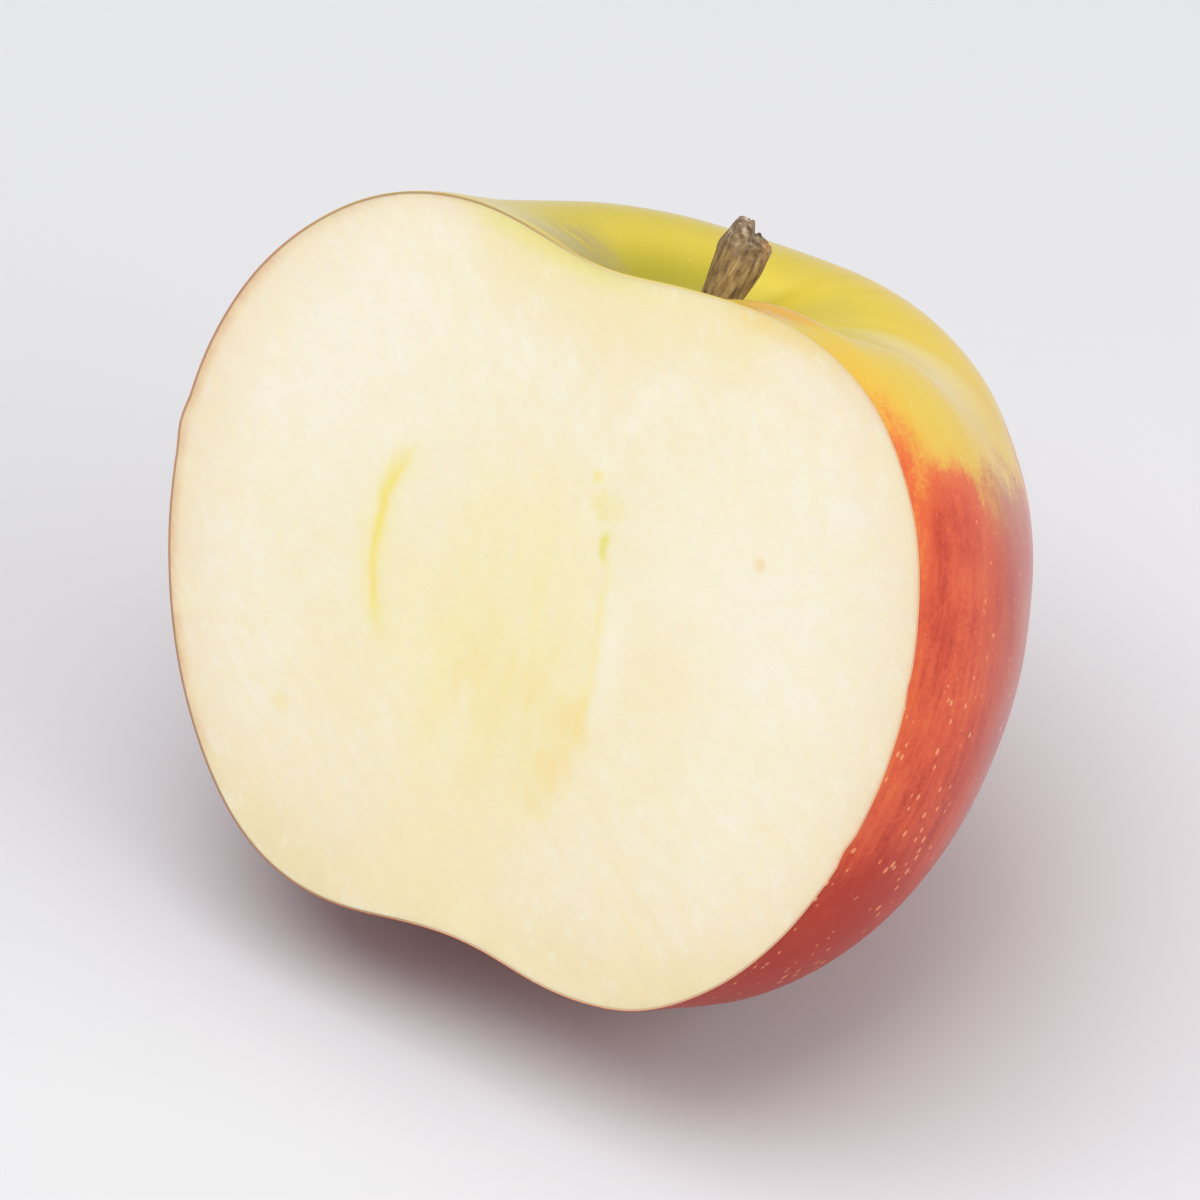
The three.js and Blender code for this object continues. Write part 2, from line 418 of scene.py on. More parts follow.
# It deepens towards the eye and in one blotch, and pales in a strip beside the cut.
low_down = remap(tree, polar_degrees, 85, 125, 0, 0.3)
blotch = product(
    tree,
    remap(tree, polar_degrees, 47, 56),
    remap(tree, polar_degrees, 68, 58),
    remap(tree, facing(tree, 353.5), 0.984, 0.998),
)
pale_strip = product(
    tree,
    remap(tree, facing(tree, 342), 0.9925, 0.9994),
    remap(tree, polar_degrees, 82, 60),
)
deepened = maths(tree, "MULTIPLY_ADD", pale_strip, -0.06, low_down)
deepened = maths(tree, "MULTIPLY_ADD", blotch, 0.25, deepened)
present = remap(tree, below_edge, -9, 1)
blush_share = maths(tree, "MULTIPLY", maths(tree, "ADD", blush, deepened), present, clamp=True)
blush_colours = ramp(tree, blush_share, [
    (0.0, colour(230, 176, 66)),
    (0.26, colour(222, 132, 60)),
    (0.46, colour(219, 108, 56)),
    (0.72, colour(208, 83, 49)),
    (1.0, colour(172, 48, 30)),
])

# Under the blush lie an orange wash and a tanned patch on the lip, and along the valley a pale painted
# highlight.
skin_colour = tint(
    tree, ground, colour(230, 162, 54),
    remap(tree, below_edge, -26, 0),
    remap(tree, facing(tree, 322), 0.84, 1.0),
    0.25,
)
skin_colour = tint(
    tree, skin_colour, colour(222, 152, 66),
    remap(tree, facing(tree, 329), 0.96, 0.995),
    remap(tree, polar_degrees, 26, 20),
    remap(tree, polar_degrees, 11, 16),
    0.6,
)
# A painted highlight: a pale waxy gleam along the slope of the valley.
skin_colour = tint(
    tree, skin_colour, colour(226, 207, 158),
    remap(tree, facing(tree, 21), 0.945, 0.99),
    remap(tree, polar_degrees, 15, 25),
    remap(tree, polar_degrees, 50, 34, 0, 0.42),
)
skin_colour = blend(tree, remap(tree, blush_share, 0.0, 0.56), skin_colour, blush_colours)

# To the right of the cut, where the red turns away, a dull purple is laid on it as painted shade and
# painted reflection, and low down the red is darkened as painted shade.
skin_colour = tint(
    tree, skin_colour, colour(132, 46, 56),
    remap(tree, facing(tree, 40), 0.72, 0.93),
    remap(tree, facing(tree, 355), 0.62, 0.88),
    remap(tree, blush_share, 0.1, 0.4, 0, 0.5),
    remap(tree, polar_degrees, 118, 98),
)
# Painted shade: the red low on the fruit is darkened to a deep brownish red.
skin_colour = tint(tree, skin_colour, colour(162, 30, 0), remap(tree, polar_degrees, 98, 128, 0, 0.9))

# Pores: pale specks of many sizes drawn out along the meridians, more of them towards the eye.
pore_cells = node(tree, "TexVoronoi", {"Vector": peel_place(tree, 46, 32), "Scale": 1.0})
pore_size = remap(tree, node(tree, "SeparateXYZ", {0: pore_cells.outputs["Color"]}).outputs[0], 0.5, 1.0)
pore_crowd = remap(tree, noise_at(tree, peel_place(tree, 4, 4, 1), detail=2), 0.35, 0.6, 0.6, 1.1)
pores_near_eye = remap(tree, polar_degrees, 50, 104, 0.22, 0.35)
pore_reach = product(tree, pores_near_eye, pore_crowd, pore_size)
pores = remap(tree, maths(tree, "SUBTRACT", pore_reach, pore_cells.outputs["Distance"]), 0, 0.1)
pore_redness = remap(tree, blush_share, 0.1, 0.5)
pore_colour = blend(tree, pore_redness, colour(226, 214, 128), colour(240, 160, 106))
skin_colour = tint(tree, skin_colour, pore_colour, pores, 0.65)

# Russet: a dull grey-brown patch on one side of the stem hollow, and a ring deep round the stem.
russet_patch = product(
    tree,
    remap(tree, facing(tree, 187), 0.86, 0.99),
    remap(tree, polar_degrees, 22, 15),
    remap(tree, polar_degrees, 5, 9),
)
russet_deep = remap(tree, polar_degrees, 10, 5)
russet_rough = remap(tree, noise_at(tree, peel_place(tree, 12, 9), detail=4, roughness=0.7), 0.3, 0.6)
russet = product(tree, maths(tree, "MAXIMUM", russet_patch, russet_deep), russet_rough)
skin_colour = tint(tree, skin_colour, colour(172, 156, 106), russet, 0.8)

# Where the knife went through, the thin edge pales towards the flesh, and is browned on one side.
through = remap(tree, node(tree, "Attribute", attribute_name="depth").outputs["Fac"], 0, 0.4)
browned = remap(tree, facing(tree, 180), 0.1, 0.8, 0, 0.9)
edge_colour = blend(tree, 0.6, skin_colour, colour(246, 226, 180))
edge_colour = blend(tree, browned, edge_colour, colour(178, 146, 110))
skin_colour = blend(tree, through, skin_colour, edge_colour)

put(skin_shader.inputs["Base Color"], skin_colour)
shoulder_soft = remap(tree, polar_degrees, 56, 40, 0.32, 0.4)
put(skin_shader.inputs["Roughness"], maths(tree, "MULTIPLY_ADD", russet, 0.1, shoulder_soft))
skin_shader.inputs["Specular IOR Level"].default_value = 0.17
wax = node(tree, "LayerWeight", {"Blend": 0.5}).outputs["Facing"]
waxy_rim = remap(tree, wax, 0.62, 0.92, 0.0, 0.35)
put(skin_shader.inputs["Coat Weight"], product(tree, waxy_rim, remap(tree, polar_degrees, 120, 98)))
skin_shader.inputs["Coat Roughness"].default_value = 0.1
skin_shader.inputs["Sheen Weight"].default_value = 0.02
skin_shader.inputs["Sheen Roughness"].default_value = 0.3
skin_shader.inputs["Sheen Tint"].default_value = (0.86, 0.9, 1.0, 1)
pitting = noise_at(tree, node(tree, "TexCoord").outputs["Object"], 900, detail=2)
relief = maths(tree, "ADD", product(tree, pitting, 0.4), product(tree, pores, 0.5))
bump(tree, skin_shader, relief, strength=0.25, depth=0.05)

finish_piece("skin", skin_mesh, skin_material, "apple_half")

# ---------------------------------------------------------------------------------------------
# The flesh: crisp and cream white, moist where the knife went through. The cut misses the seeds,
# so it shows only the yellow core zone with two curved veins. It fills the skin to the cut.
# ---------------------------------------------------------------------------------------------

flesh_mesh = whole_fruit()
from_skin = flesh_mesh.verts.layers.float.new("from_skin")
for v in flesh_mesh.verts:
    v.co -= v.normal * skin_thickness
press_down(flesh_mesh.verts, skin_thickness)
ring_edges = cut_half(flesh_mesh)

outline = list(dict.fromkeys(v for e in ring_edges for v in e.verts))
rim_tree = kdtree.KDTree(len(outline))
for index, v in enumerate(outline):
    rim_tree.insert(v.co, index)
rim_tree.balance()

# The cut face is drawn in from its outline in rings, down to a point over the core.
face_rings = 84
face_middle = lying @ Vector((0, -knife_offset, 1.5 * MM))
face_verts = []
for ring in range(1, face_rings):
    shrink = (face_rings - ring) / (face_rings - ring + 1)
    drawn = bmesh.ops.extrude_edge_only(flesh_mesh, edges=ring_edges)["geom"]
    ring_verts = [g for g in drawn if isinstance(g, bmesh.types.BMVert)]
    ring_edges = [g for g in drawn if isinstance(g, bmesh.types.BMEdge) and g.is_boundary]
    for v in ring_verts:
        v.co = face_middle + (v.co - face_middle) * shrink
    face_verts += ring_verts
bmesh.ops.pointmerge(flesh_mesh, verts=ring_verts, merge_co=face_middle)
face_verts = [v for v in face_verts if v.is_valid]

# The knife leaves a broad wave and fine lines, which are clearer low down, and the face dries into
# a slight dish. All are in millimetres.
to_knife = lying.inverted()
knife_turn = radians(50)
knife_wave, knife_wave_size = 0.10, 19
knife_line, knife_line_width, knife_line_length = 0.018, 1.1, 30
dish, dish_reach = 0.06, 14
for v in face_verts:
    across, _, along = (to_knife @ v.co) / MM
    inside = rim_tree.find(v.co)[2] / MM
    v[from_skin] = inside
    over_line = across * cos(knife_turn) + along * sin(knife_turn)
    wave_place = Vector((across / knife_wave_size, along / knife_wave_size, 0.3))
    line_place = Vector((over_line / knife_line_width, (across - along) / knife_line_length, 4.1))
    clearer = 0.3 + 0.7 * smoothstep(-along, 6, 17)
    relief = knife_wave * noise.noise(wave_place)
    relief += knife_line * clearer * noise.noise(line_place)
    relief -= dish * smoothstep(inside, 0, dish_reach)
    v.co += cut_outward * relief * smoothstep(inside, 0, 1.5) * MM
bmesh.ops.recalc_face_normals(flesh_mesh, faces=flesh_mesh.faces[:])

flesh_material, tree, flesh_shader = new_material("apple_flesh")


def coordinates_in(tree, place):
    """A piece's coordinates in the frame of this place, in millimetres."""
    return node(
        tree,
        "Mapping",
        {
            "Vector": node(tree, "TexCoord").outputs["Object"],
            "Location": place.to_translation(),
            "Rotation": place.to_euler(),
            "Scale": (MM, MM, MM),
        },
        vector_type="TEXTURE",
    ).outputs[0]


def vein_group():
    """The nodes for a thin curved line on the cut, which fades out at both ends."""
    group = bpy.data.node_groups.new("Vein", "ShaderNodeTree")
    for name in ("Across", "Along", "Place", "Middle", "Bend", "Reach", "Width", "Fade"):
        group.interface.new_socket(name, in_out="INPUT", socket_type="NodeSocketFloat")
    group.interface.new_socket("Line", in_out="OUTPUT", socket_type="NodeSocketFloat")
    given = group.nodes.new("NodeGroupInput").outputs
    result = group.nodes.new("NodeGroupOutput")
    along = maths(group, "SUBTRACT", given["Along"], given["Middle"])
    bow = product(group, along, along, given["Bend"])
    off = maths(group, "SUBTRACT", maths(group, "SUBTRACT", given["Across"], given["Place"]), bow)
    ratio = maths(group, "DIVIDE", off, given["Width"])
    narrow = maths(group, "EXPONENT", product(group, ratio, ratio, -1))
    past_end = maths(group, "SUBTRACT", maths(group, "ABSOLUTE", along), given["Reach"])
    ends = remap(group, maths(group, "DIVIDE", past_end, given["Fade"]), 0, -1)
    put(result.inputs["Line"], product(group, narrow, ends))
    return group


vein = vein_group()

# Across, into and along the cut from the middle of the core. Across wanders a little.
cut_place = coordinates_in(tree, lying)
cut_parts = node(tree, "SeparateXYZ", {0: cut_place}).outputs
wander = remap(tree, noise_at(tree, cut_place, 0.35, detail=2), 0.3, 0.7, -0.35, 0.35, smooth=False)
across = maths(tree, "ADD", cut_parts[0], wander)
along = cut_parts[2]


def vein_line(**shape):
    """One vein on the cut: its Place across, its Middle along, and the rest as in the group."""
    made = tree.nodes.new("ShaderNodeGroup")
    made.node_tree = vein
    put(made.inputs["Across"], across)
    put(made.inputs["Along"], along)
    for name, value in shape.items():
        made.inputs[name].default_value = value
    return made.outputs["Line"]


def drawn_along(slope, size):
    """The cut's coordinates turned by a slope in degrees, for grains of this size."""
    inputs = {"Vector": cut_place, "Rotation": (0, radians(slope), 0), "Scale": size}
    return node(tree, "Mapping", inputs, vector_type="TEXTURE").outputs[0]


# From a brownish edge under the skin to white, and then cream towards the core.
inside = node(tree, "Attribute", attribute_name="from_skin").outputs["Fac"]
flesh_colour = ramp(tree, remap(tree, inside, 0, 24, smooth=False), [
    (0.0, colour(238, 206, 160)),
    (0.018, colour(245, 227, 196)),
    (0.08, colour(248, 236, 212)),
    (0.18, colour(250, 240, 218)),
    (0.4, colour(250, 240, 216)),
    (0.65, colour(249, 238, 207)),
    (0.9, colour(248, 236, 200)),
])
left_side = remap(tree, across, -18, -35)
from_hollow = maths(tree, "ABSOLUTE", maths(tree, "ADD", across, -3))
creams = [    # creamier parts of the cut: the colour, and what lets it through
    # yellower flesh towards the eye end, also darker there as painted shade
    (colour(243, 225, 186), remap(tree, along, -8, -27), 0.7),
    (colour(243, 224, 190), left_side, remap(tree, inside, 9, 0, 0, 0.7)),
    (colour(233, 188, 142), left_side, remap(tree, inside, 1.2, 0, 0, 0.9)),
    (colour(242, 222, 186), remap(tree, across, 10, 30), remap(tree, inside, 9, 0, 0, 0.45)),
    (colour(252, 212, 178), remap(tree, across, 14, 32), remap(tree, inside, 0.6, 0, 0, 0.6)),
    (
        colour(246, 229, 176),
        remap(tree, from_hollow, 18, 12),
        remap(tree, along, 15, 23),
        remap(tree, inside, 10, 1.5, 0, 0.9),
    ),
    (colour(241, 221, 172), remap(tree, along, -19, -26), remap(tree, inside, 8, 0.5, 0, 0.75)),
    (
        colour(246, 214, 128),
        remap(tree, across, 8, 15),
        remap(tree, across, 27, 20),
        remap(tree, along, 12, 20),
        remap(tree, inside, 2.4, 0.2, 0, 0.8),
    ),
]
for shade, *shares in creams:
    flesh_colour = tint(tree, flesh_colour, shade, *shares)

# Fibres that run out from the core, cloudy patches, a soft grain of tan flecks, and knife lines.
fibre_middle = (-0.9, -knife_offset / MM, -3.7)
fibre_place = node(tree, "VectorMath", {0: cut_place, 1: fibre_middle}, operation="SUBTRACT").outputs[0]
fibre_way = node(tree, "VectorMath", {0: fibre_place}, operation="NORMALIZE").outputs[0]
fibre_reach = node(tree, "VectorMath", {0: fibre_place}, operation="LENGTH").outputs[1]
fibre_lift = node(tree, "CombineXYZ", {1: product(tree, fibre_reach, 0.16)}).outputs[0]
fibre_vector = node(
    tree,
    "VectorMath",
    {0: fibre_way, 1: (13, 13, 13), 2: fibre_lift},
    operation="MULTIPLY_ADD",
).outputs[0]
fibres = noise_at(tree, fibre_vector, detail=4, roughness=0.6)
flesh_colour = blend(tree, remap(tree, fibres, 0.45, 0.72, 0, 0.4), flesh_colour, colour(247, 232, 190))
clouded = noise_at(tree, cut_place, 0.16, detail=3, roughness=0.6)
flesh_colour = blend(tree, remap(tree, clouded, 0.42, 0.62, 0, 0.35), flesh_colour, colour(248, 234, 196))
cells = noise_at(tree, drawn_along(48, (2.4, 1.6, 1.3)), detail=4, roughness=0.62)
flesh_colour = blend(tree, remap(tree, cells, 0.46, 0.72, 0, 0.36), flesh_colour, colour(247, 231, 186))
flesh_colour = blend(tree, remap(tree, cells, 0.48, 0.3, 0, 0.25), flesh_colour, colour(252, 247, 234))
flecks = noise_at(tree, cut_place, 1.4, detail=4, roughness=0.6)
flesh_colour = blend(tree, remap(tree, flecks, 0.5, 0.72, 0, 0.3), flesh_colour, colour(246, 229, 184))
drag_noise = noise_at(tree, drawn_along(40, (16, 4, 0.9)), detail=3, roughness=0.6)
drag_lines = remap(tree, drag_noise, 0.56, 0.7)
dragged = remap(tree, along, -9, -18)
flesh_colour = tint(tree, flesh_colour, colour(244, 226, 176), drag_lines, dragged, 0.4)

# The core zone: yellow above and warmer below, streaked along the core, and sharp on one side.
streak_noise = noise_at(tree, scaled(tree, cut_place, (0.45, 0.45, 0.08)), detail=4, roughness=0.6)
core_across = maths(tree, "DIVIDE", maths(tree, "ADD", across, 2.2), 10.5)
core_along = maths(tree, "DIVIDE", maths(tree, "ADD", along, 4.0), 16.5)
core_distance = maths(tree, "SQRT", maths(
    tree,
    "ADD",
    product(tree, core_across, core_across),
    product(tree, core_along, core_along),
))
core_side = maths(tree, "ADD", across, product(tree, along, -0.09))
core_zone = product(
    tree,
    remap(tree, core_distance, 1.25, 0.35),
    remap(tree, core_side, 8.6, 6.4, 0.25, 1),
)
core_streaks = remap(tree, streak_noise, 0.36, 0.66)
core_share = maths(tree, "MULTIPLY_ADD", core_streaks, 0.55, 0.4)
flesh_colour = tint(tree, flesh_colour, colour(249, 235, 182), core_zone, core_share)
warm_noise = noise_at(tree, scaled(tree, cut_place, (0.34, 0.34, 0.17)), detail=4, roughness=0.6)
flesh_colour = tint(
    tree, flesh_colour, colour(250, 227, 160),
    remap(tree, warm_noise, 0.4, 0.66),
    core_zone,
    remap(tree, along, 6, -7),
    0.5,
)

# The marks on the cut are soft patches, whose edges fray along the core, specks and veins.
fray = Vector((3.5, 0, 9))
frayed = node(
    tree,
    "TexNoise",
    {"Vector": scaled(tree, cut_place, (0.55, 0.55, 0.16)), "Scale": 1, "Detail": 3, "Roughness": 0.65},
)
frayed_place = node(
    tree,
    "VectorMath",
    {0: frayed.outputs["Color"], 1: fray, 2: cut_place},
    operation="MULTIPLY_ADD",
).outputs[0]


def spot(across, along, radius, frays=True):
    """A soft patch on the cut, at this place in millimetres."""
    place, middle = cut_place, Vector((across, -knife_offset / MM, along))
    if frays:
        place, middle = frayed_place, middle + fray / 2
    distance = node(tree, "VectorMath", {0: place, 1: middle}, operation="DISTANCE").outputs["Value"]
    return remap(tree, distance, 1.2 * radius, 0.2 * radius)


tan, warm_yellow = colour(248, 230, 184), colour(250, 220, 134)
yellow, green_yellow = colour(248, 228, 120), colour(236, 224, 110)
pale, pale_band = colour(251, 243, 226), colour(252, 246, 228)
marks = [    # where, how strong and what colour
    (spot(19.0, 5.0, 13.0), 0.5, pale),
    (spot(-19.0, 12.0, 14.0), 0.4, pale),
    (spot(14.2, -1.4, 7.0), 0.45, tan),
    (spot(-17.3, -12.2, 6.0), 0.4, tan),
    (spot(3.4, 25.5, 6.5), 0.5, tan),
    (spot(-3.0, -23.0, 9.5), 0.7, tan),
    (spot(2.6, -13.5, 7.5), 0.35, colour(246, 227, 172)),
    (spot(6.2, -8.5, 3.0), 0.5, warm_yellow),
    (spot(5.4, -12.6, 2.4), 0.45, warm_yellow),
    (spot(2.0, -6.0, 2.6), 0.35, warm_yellow),
    (spot(-3.8, -7.6, 2.2), 0.35, warm_yellow),
    (spot(4.3, -16.3, 1.7), 0.3, warm_yellow),
    (spot(5.4, 9.9, 1.8), 0.35, green_yellow),
    (spot(4.2, 12.2, 0.7, frays=False), 0.55, yellow),
    (spot(20.8, 10.2, 0.8, frays=False), 0.6, colour(243, 214, 150)),
    (spot(-21.7, -15.9, 1.0, frays=False), 0.4, colour(248, 224, 150)),
    (vein_line(Place=8.9, Middle=-2.0, Bend=0.0, Reach=8.0, Width=1.4, Fade=7.0), 0.4, pale_band),
    (vein_line(Place=-15.8, Middle=0.8, Bend=0.031, Reach=11.5, Width=1.6, Fade=7.0), 0.3, yellow),
    (vein_line(Place=-15.7, Middle=3.6, Bend=0.028, Reach=6.4, Width=0.7, Fade=5.0), 0.6, yellow),
    (vein_line(Place=-15.7, Middle=1.0, Bend=0.031, Reach=9.4, Width=0.42, Fade=5.0), 0.75, yellow),
    (vein_line(Place=6.3, Middle=6.8, Bend=0.02, Reach=1.9, Width=0.45, Fade=1.4), 0.85, green_yellow),
    (vein_line(Place=7.2, Middle=-2.5, Bend=-0.006, Reach=9.0, Width=0.4, Fade=4.0), 0.3, yellow),
]
for share, strength, shade in marks:
    flesh_colour = tint(tree, flesh_colour, shade, share, strength)

# A green-yellow tinge where the stem hollow dips to the cut.
from_dip = maths(tree, "ABSOLUTE", maths(tree, "ADD", across, 4))
flesh_colour = tint(
    tree, flesh_colour, colour(234, 220, 120),
    remap(tree, along, 22.5, 29.0),
    remap(tree, inside, 2.6, 0.0),
    remap(tree, from_dip, 13, 3),
    0.7,
)

put(flesh_shader.inputs["Base Color"], flesh_colour)
put(flesh_shader.inputs["Roughness"], remap(tree, cells, 0.3, 0.7, 0.5, 0.38))
flesh_shader.inputs["Specular IOR Level"].default_value = 0.45
flesh_shader.inputs["Subsurface Weight"].default_value = 0.25
flesh_shader.inputs["Subsurface Radius"].default_value = (1.0, 0.7, 0.35)
flesh_shader.inputs["Subsurface Scale"].default_value = MM
grain = noise_at(tree, cut_place, 1.7, detail=5, roughness=0.7)
bump(tree, flesh_shader, grain, strength=0.35, depth=0.12)

finish_piece("flesh", flesh_mesh, flesh_material, "apple_half")

# ---------------------------------------------------------------------------------------------
# The stem: a short dry stalk of ridged wood that widens to a torn, fibrous end where it left the
# twig. It stands in the bottom of its hollow and leans away from the cut.
# ---------------------------------------------------------------------------------------------

stem_length, stem_radius, stem_flare = 14.35, 1.4, 0.53
stem_sunk, stem_shift = 2.8, 0.15
stem_lean, stem_lean_turn = radians(13.0), radians(31.6)
stem_columns, stem_rings = 120, 110
torn_share, root_share = 0.24, 0.08     # of the ball's rings that make the torn end and the root

stem_root = skin_point(0, 0) + Vector((
    stem_shift * cos(stem_lean_turn), stem_shift * sin(stem_lean_turn), -stem_sunk))
stem_place = (
    fruit_place
    @ Matrix.Translation(stem_root * MM)
    @ Matrix.Rotation(stem_lean_turn, 4, "Z")
    @ Matrix.Rotation(stem_lean, 4, "Y")
)


def stem_point(outward, along, turn):
    """A point of the stem in its own frame, in millimetres. The share outward runs from its axis to
    its side, and along from its root to its torn end."""
    # Ridges and fibres run down the stalk, which widens towards its end.
    flare = smoothstep(along, 0.45, 0.8)
    section = 1 + 0.07 * wave(turn, 2, 0) + 0.05 * wave(turn, 5, 20)
    fibres = noise.noise(Vector((cos(turn) * 3.2, sin(turn) * 3.2, along * 2.2)))
    fine = noise.noise(Vector((cos(turn) * 8, sin(turn) * 8, along * 4 + 9)))
    radius = (stem_radius + stem_flare * flare) * section + 0.10 * fibres + 0.06 * fine

    # How far the torn end falls away on each side, with a notch in its middle.
    torn = smoothstep(along, 0.72, 1)
    side, far = outward * cos(turn), outward * sin(turn)
    fall = 2.4 * smoothstep(-side, 0.68, 1) + 0.75 * smoothstep(side, -0.15, 0.15)
    fall += 0.55 * smoothstep(side, 0.4, 1) + 0.5 * smoothstep(-far, -0.2, 0.8)
    fall += 0.2 * exp(-((side - 0.15) / 0.1) ** 2)
    splinters = noise.noise(Vector((cos(turn) * outward * 3, sin(turn) * outward * 3, 2.7)))
    shreds = noise.noise(Vector((cos(turn) * outward * 9, sin(turn) * outward * 9, 6.1)))
    ragged = (0.22 * splinters + 0.16 * shreds) * torn
    return Vector((
        side * radius - 0.1 * torn,
        far * radius,
        along * stem_length - fall * torn + ragged,
    ))


stem_mesh = bmesh.new()
bmesh.ops.create_uvsphere(stem_mesh, u_segments=stem_columns, v_segments=stem_rings, radius=1)
for v in stem_mesh.verts:
    down = acos(min(max(v.co.z, -1), 1)) / pi
    turn = atan2(v.co.y, v.co.x)
    outward = min(down / torn_share, (1 - down) / root_share, 1)
    along = min(max((1 - root_share - down) / (1 - root_share - torn_share), 0), 1)
    v.co = stem_place @ (stem_point(outward, along, turn) * MM)
bmesh.ops.recalc_face_normals(stem_mesh, faces=stem_mesh.faces[:])

stem_material, tree, stem_shader = new_material("stem_wood")
stem_coordinates = coordinates_in(tree, stem_place)
wood_grain = noise_at(tree, scaled(tree, stem_coordinates, (2.4, 2.4, 0.35)), detail=5, roughness=0.65)
wood_specks = noise_at(tree, stem_coordinates, 3.2, detail=4, roughness=0.7)
wood = ramp(tree, wood_grain, [
    (0.32, colour(66, 48, 30)),
    (0.44, colour(114, 88, 56)),
    (0.56, colour(150, 120, 76)),
    (0.7, colour(190, 162, 112)),
])
wood_patches = noise_at(tree, stem_coordinates, 0.7, detail=3, roughness=0.6)
wood = blend(tree, remap(tree, wood_patches, 0.46, 0.62, 0, 0.4), wood, colour(166, 142, 96))
wood = blend(tree, remap(tree, wood_specks, 0.6, 0.75, 0, 0.6), wood, colour(96, 74, 52))
stem_parts = node(tree, "SeparateXYZ", {0: stem_coordinates}).outputs
torn_end = remap(tree, stem_parts[2], 11.2, 13.4)
torn_wood = ramp(tree, noise_at(tree, stem_coordinates, 1.5, detail=4, roughness=0.6), [
    (0.36, colour(70, 52, 36)),
    (0.46, colour(112, 90, 66)),
    (0.56, colour(148, 126, 98)),
    (0.68, colour(198, 182, 166)),
])
wood = tint(tree, wood, torn_wood, torn_end, 0.85)
broken_side = remap(tree, stem_parts[0], 0.5, 1.5)
broken_specks = remap(tree, wood_specks, 0.44, 0.6)
wood = tint(tree, wood, colour(196, 138, 64), broken_side, torn_end, broken_specks, 0.7)
put(stem_shader.inputs["Base Color"], wood)
put(stem_shader.inputs["Roughness"], remap(tree, wood_grain, 0.3, 0.7, 0.85, 0.62))
bump(tree, stem_shader, wood_grain, strength=0.8, depth=0.15)

finish_piece("stalk", stem_mesh, stem_material, "stem")

# ---------------------------------------------------------------------------------------------
# The calyx: what is left of the blossom in the eye, five dry sepals curled together over a woolly
# button with a few stamens. It sits in the hollow at the lower end of the core.
# ---------------------------------------------------------------------------------------------

calyx_radius, calyx_height, calyx_sunk = 3.3, 2.6, 1.1
button_radius, button_half_height = 0.88 * calyx_radius, 0.4 * calyx_height
sepals, sepal_width, sepal_thickness = 5, 1.9, 0.32
stamens, stamen_length, stamen_foot, stamen_tip = 11, 1.5, 0.13, 0.07
golden_turn = 2.4     # the angle from one stamen to the next, about the golden angle

eye_bottom = skin_point(pi, 0) + Vector((0, 0, calyx_sunk - calyx_height / 2))
calyx_place = fruit_place @ Matrix.Translation(eye_bottom * MM)

calyx_mesh = bmesh.new()
button = bmesh.ops.create_uvsphere(calyx_mesh, u_segments=48, v_segments=24, radius=1)["verts"]
for v in button:
    turn = atan2(v.co.y, v.co.x)
    puckered = 1 - 0.22 * (0.5 - 0.5 * wave(turn, sepals, 0)) * hypot(v.co.x, v.co.y)
    wool = 1 + 0.06 * noise.noise(v.co * 5)
    v.co = Vector((
        v.co.x * button_radius * puckered * wool,
        v.co.y * button_radius * puckered * wool,
        v.co.z * button_half_height * wool,
    ))

for sepal in range(sepals):
    leaf = bmesh.ops.create_grid(calyx_mesh, x_segments=8, y_segments=16, size=1)["verts"]
    spin = Matrix.Rotation(2 * pi * sepal / sepals, 4, "Z")
    curl = 0.35 + 0.12 * noise.noise(Vector((sepal * 1.7, 0.4, 0)))
    for v in leaf:
        share = (v.co.y + 1) / 2
        side = v.co.x
        width = sepal_width * (1 - share) ** 0.7 * (0.75 + 0.6 * share)
        folded = 0.35 * side * side * (1 - share)
        v.co = spin @ Vector((
            calyx_radius * (0.98 - 0.86 * share + curl * share ** 4) - folded,
            width * side,
            -(0.25 + 1.05 * sin(share * 1.9)) * calyx_height / 2 - 0.12 * folded,
        ))
    leaf_faces = list(dict.fromkeys(f for v in leaf for f in v.link_faces))
    bmesh.ops.solidify(calyx_mesh, geom=leaf_faces, thickness=sepal_thickness)

# The stamens stand in a spiral, each a little further out than the last, and leaning more.
for stamen in range(stamens):
    hair = bmesh.ops.create_cone(
        calyx_mesh,
        cap_ends=True,
        segments=6,
        radius1=stamen_foot,
        radius2=stamen_tip,
        depth=stamen_length,
    )["verts"]
    stand = (
        Matrix.Rotation(golden_turn * stamen, 4, "Z")
        @ Matrix.Translation((0.55 + 0.06 * stamen, 0, -0.85))
        @ Matrix.Rotation(radians(10 + 2 * stamen), 4, "Y")
    )
    bmesh.ops.transform(calyx_mesh, matrix=stand, verts=hair)
bmesh.ops.transform(calyx_mesh, matrix=calyx_place @ Matrix.Scale(MM, 4), verts=calyx_mesh.verts[:])
bmesh.ops.recalc_face_normals(calyx_mesh, faces=calyx_mesh.faces[:])

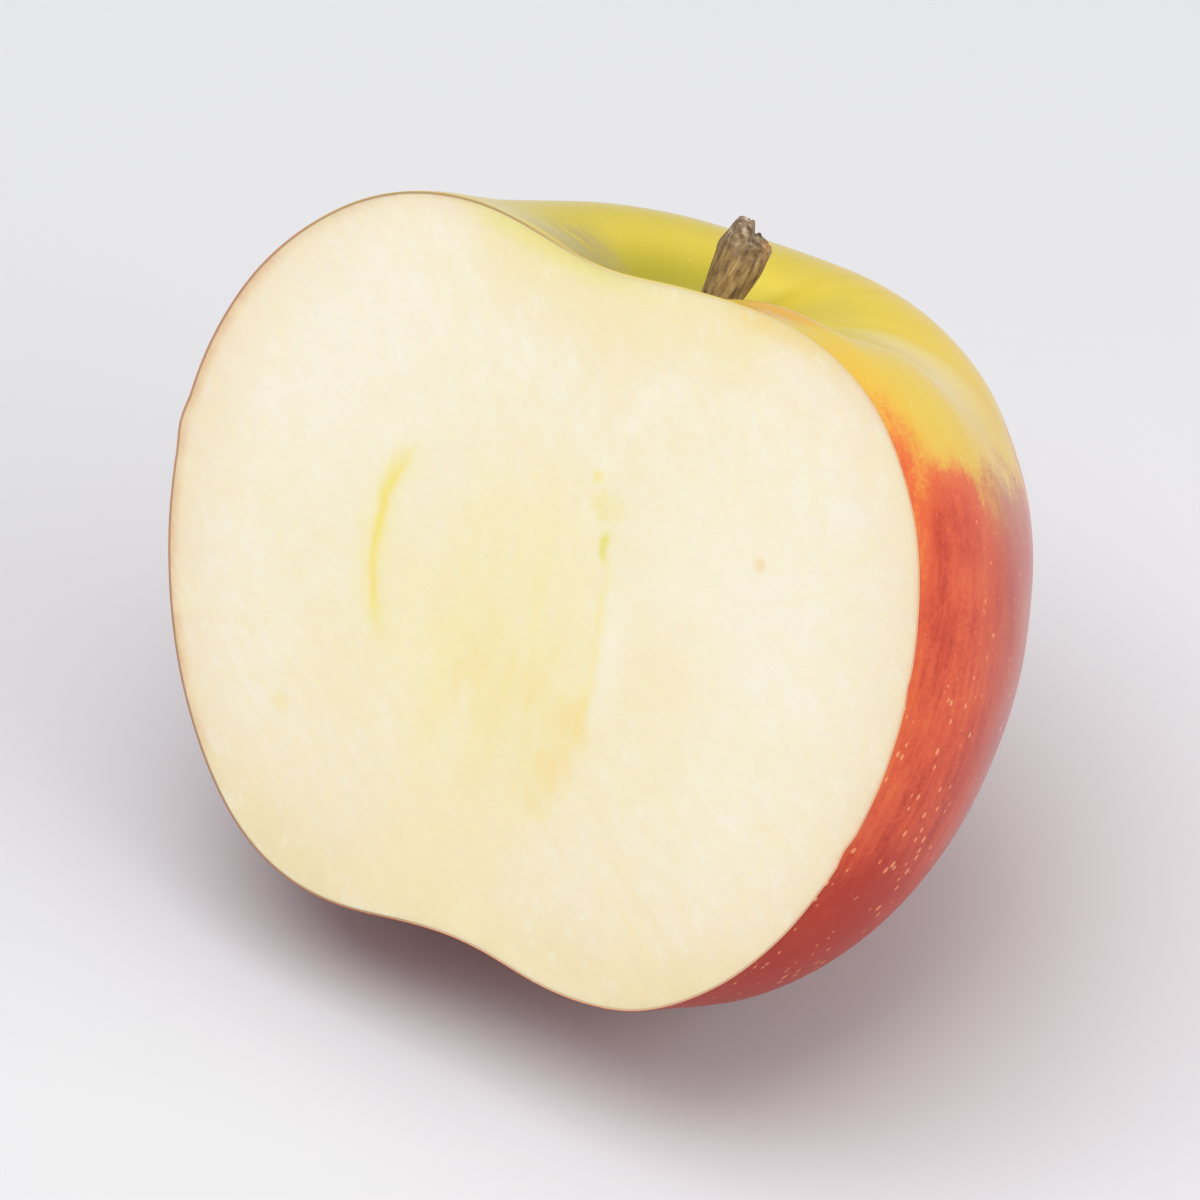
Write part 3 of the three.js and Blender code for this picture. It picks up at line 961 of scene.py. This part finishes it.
calyx_material, tree, calyx_shader = new_material("dry_calyx")
wool = noise_at(tree, node(tree, "TexCoord").outputs["Object"], 1400, detail=5, roughness=0.7)
put(calyx_shader.inputs["Base Color"], ramp(tree, wool, [
    (0.32, colour(46, 36, 26)),
    (0.48, colour(92, 76, 50)),
    (0.6, colour(128, 112, 76)),
    (0.75, colour(170, 156, 120)),
]))
calyx_shader.inputs["Roughness"].default_value = 0.9
bump(tree, calyx_shader, wool, strength=0.8, depth=0.2)

finish_piece("dry_calyx", calyx_mesh, calyx_material, "calyx")

# ---------------------------------------------------------------------------------------------
# The table and the light: a pale grey table, one large soft light on the right, another overhead
# towards the front, and a pale room.
# ---------------------------------------------------------------------------------------------

table_half_width = 6
table_mesh = bmesh.new()
bmesh.ops.create_grid(table_mesh, x_segments=1, y_segments=1, size=table_half_width)
table = bpy.data.objects.new("table", bpy.data.meshes.new("table"))
table_mesh.to_mesh(table.data)
table_mesh.free()
table_material, tree, table_shader = new_material("pale_table")
table_tone = noise_at(tree, node(tree, "TexCoord").outputs["Object"], 3, detail=2)
table_grey = blend(tree, table_tone, colour(211, 211, 213), colour(215, 215, 216))
put(table_shader.inputs["Base Color"], table_grey)
table_shader.inputs["Roughness"].default_value = 0.75
table.data.materials.append(table_material)
bpy.context.scene.collection.objects.link(table)


def soft_light(name, towards, distance, size, power, shade):
    """A square soft light of this size in metres that looks at the half from the given way."""
    lamp = bpy.data.lights.new(name, "AREA")
    lamp.shape = "SQUARE"
    lamp.size = size
    lamp.energy = power
    lamp.color = shade
    placed = bpy.data.objects.new(name, lamp)
    way = Vector(towards).normalized()
    placed.location = core_middle + way * distance
    placed.rotation_euler = way.to_track_quat("Z", "Y").to_euler()
    bpy.context.scene.collection.objects.link(placed)


soft_light("side_light", (0.93, 0.15, 0.42), distance=1.1, size=0.9, power=6.5, shade=(1.0, 0.99, 0.97))
soft_light("top_light", (-0.05, -0.2, 1.0), distance=0.75, size=0.7, power=4.8, shade=(1.0, 1.0, 1.0))

world = bpy.data.worlds.new("pale_room")
world.use_nodes = True
background = world.node_tree.nodes["Background"]
background.inputs["Color"].default_value = (0.93, 0.95, 1.0, 1)
background.inputs["Strength"].default_value = 0.5
bpy.context.scene.world = world
bpy.context.scene.view_settings.view_transform = "Standard"
